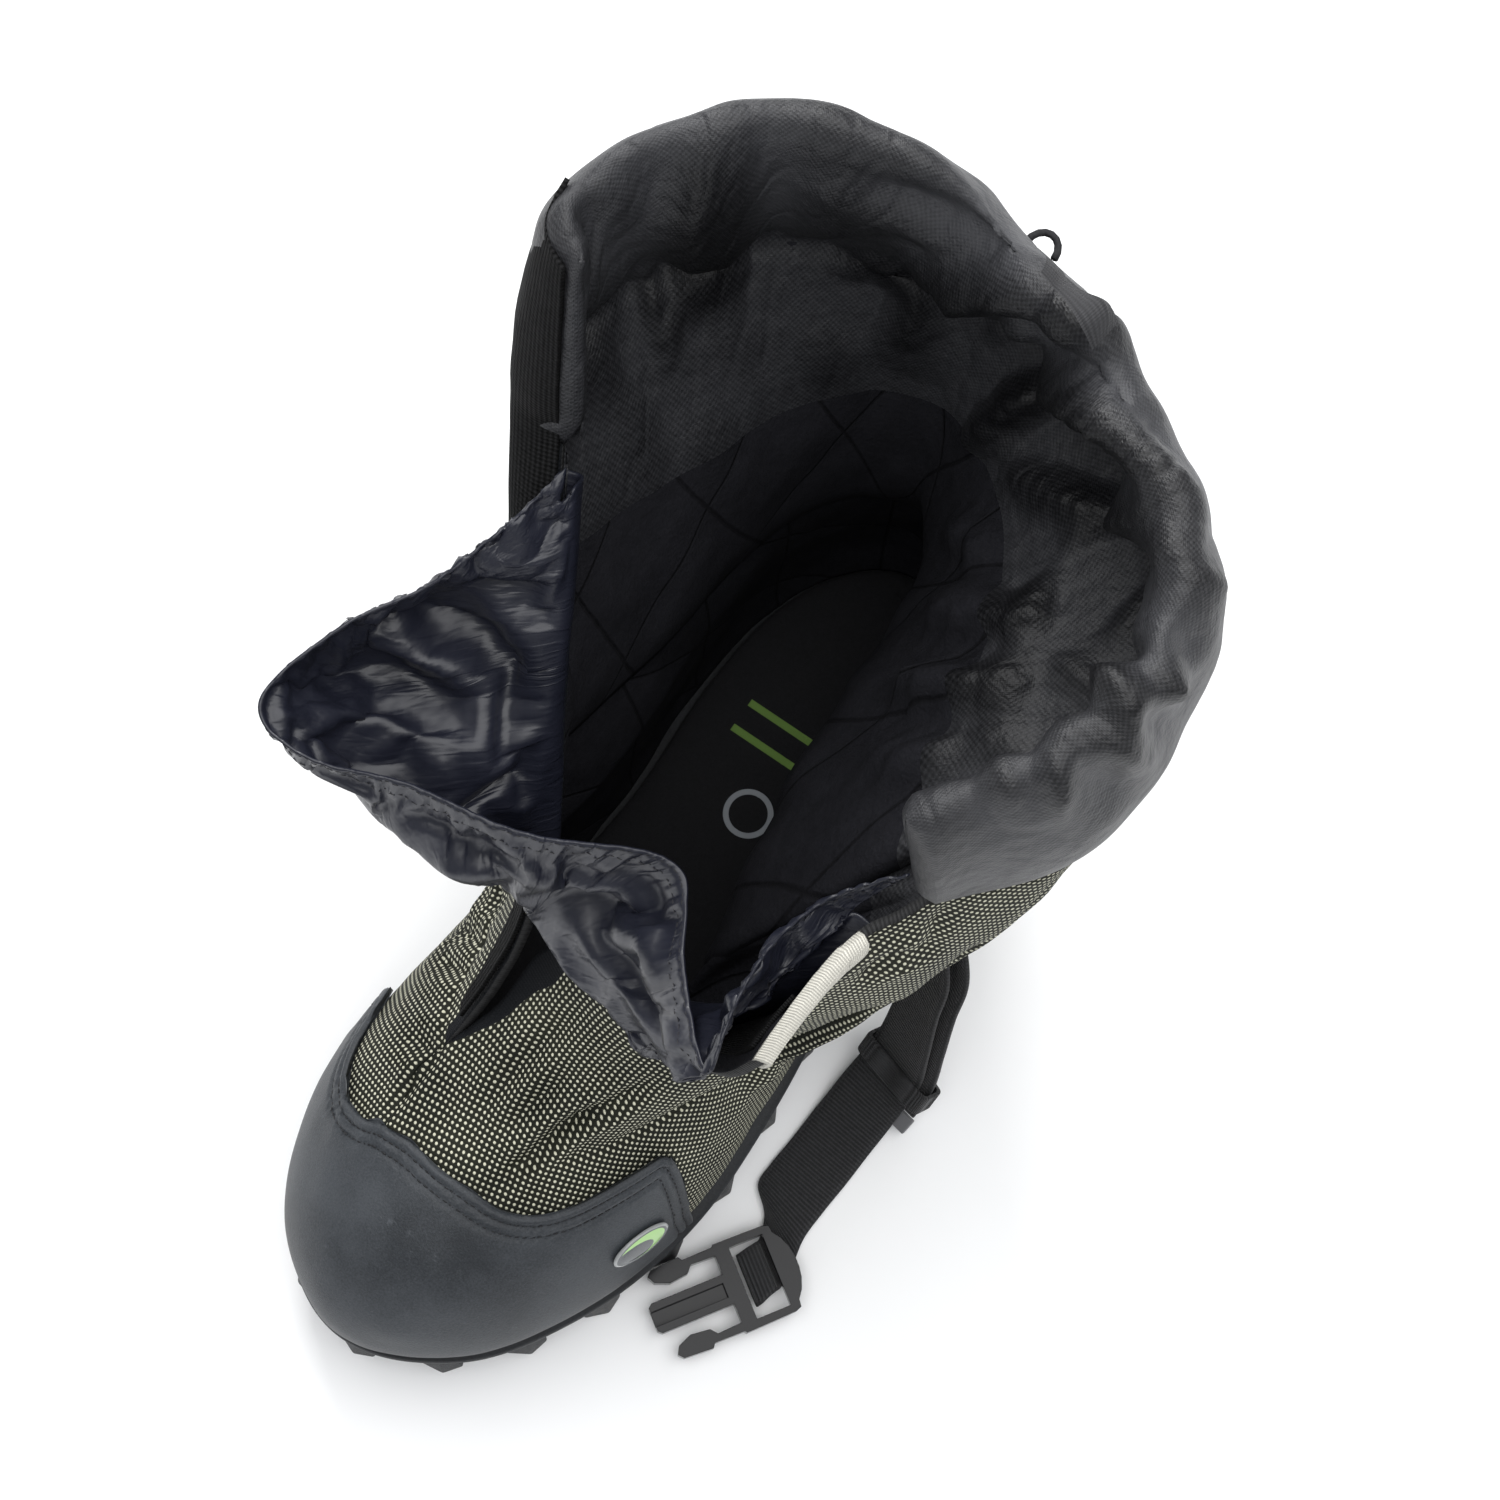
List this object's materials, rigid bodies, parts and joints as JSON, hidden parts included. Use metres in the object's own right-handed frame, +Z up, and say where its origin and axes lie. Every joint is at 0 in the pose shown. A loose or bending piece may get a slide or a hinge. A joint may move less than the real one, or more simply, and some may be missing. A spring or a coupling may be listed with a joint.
{
  "type": "insulated overshoe",
  "caption": "Tall insulated winter overshoe for the left foot, standing open: rubber sole and toe cap, fabric upper with a wrap flap, folded gusset, padded collar and a buckled strap",
  "frame": {"origin": "middle of the heel's tread, on the floor", "axes": "+X outer (lateral) side, -Y toe, +Z up"},
  "size_m": [0.22, 0.3454, 0.3348],
  "materials": {
    "sole_rubber": "matte moulded rubber",
    "cap_rubber": "smooth matte rubber",
    "shell_fabric": "dotted basket weave over insulation",
    "collar_nylon": "creased oxford-weave nylon",
    "coated_nylon": "shiny coated nylon",
    "footbed_felt": "printed felt",
    "hook_and_loop": "hook and loop tape",
    "pale_tape": "pale woven tape",
    "badge_plastic": "glossy domed plastic",
    "webbing": "ribbed woven webbing",
    "tip_plastic": "matte plastic",
    "buckle_plastic": "glossy moulded plastic",
    "cord": "braided cord"
  },
  "bodies": {
    "root": {"outsole": "sole_rubber", "upper": "shell_fabric", "toe_cap": "cap_rubber", "insole": "footbed_felt", "gusset": "coated_nylon", "collar": "collar_nylon", "hook_strip": "hook_and_loop", "loop_strip": "hook_and_loop", "pull_tab": "pale_tape", "badge": "badge_plastic", "instep_strap": "webbing", "strap_tail": "webbing", "medial_strap": "webbing", "strap_keeper": "webbing", "strap_tip": "tip_plastic", "male_buckle": "buckle_plastic", "female_buckle": "buckle_plastic", "cord_loop": "cord"}
  },
  "joints": []
}
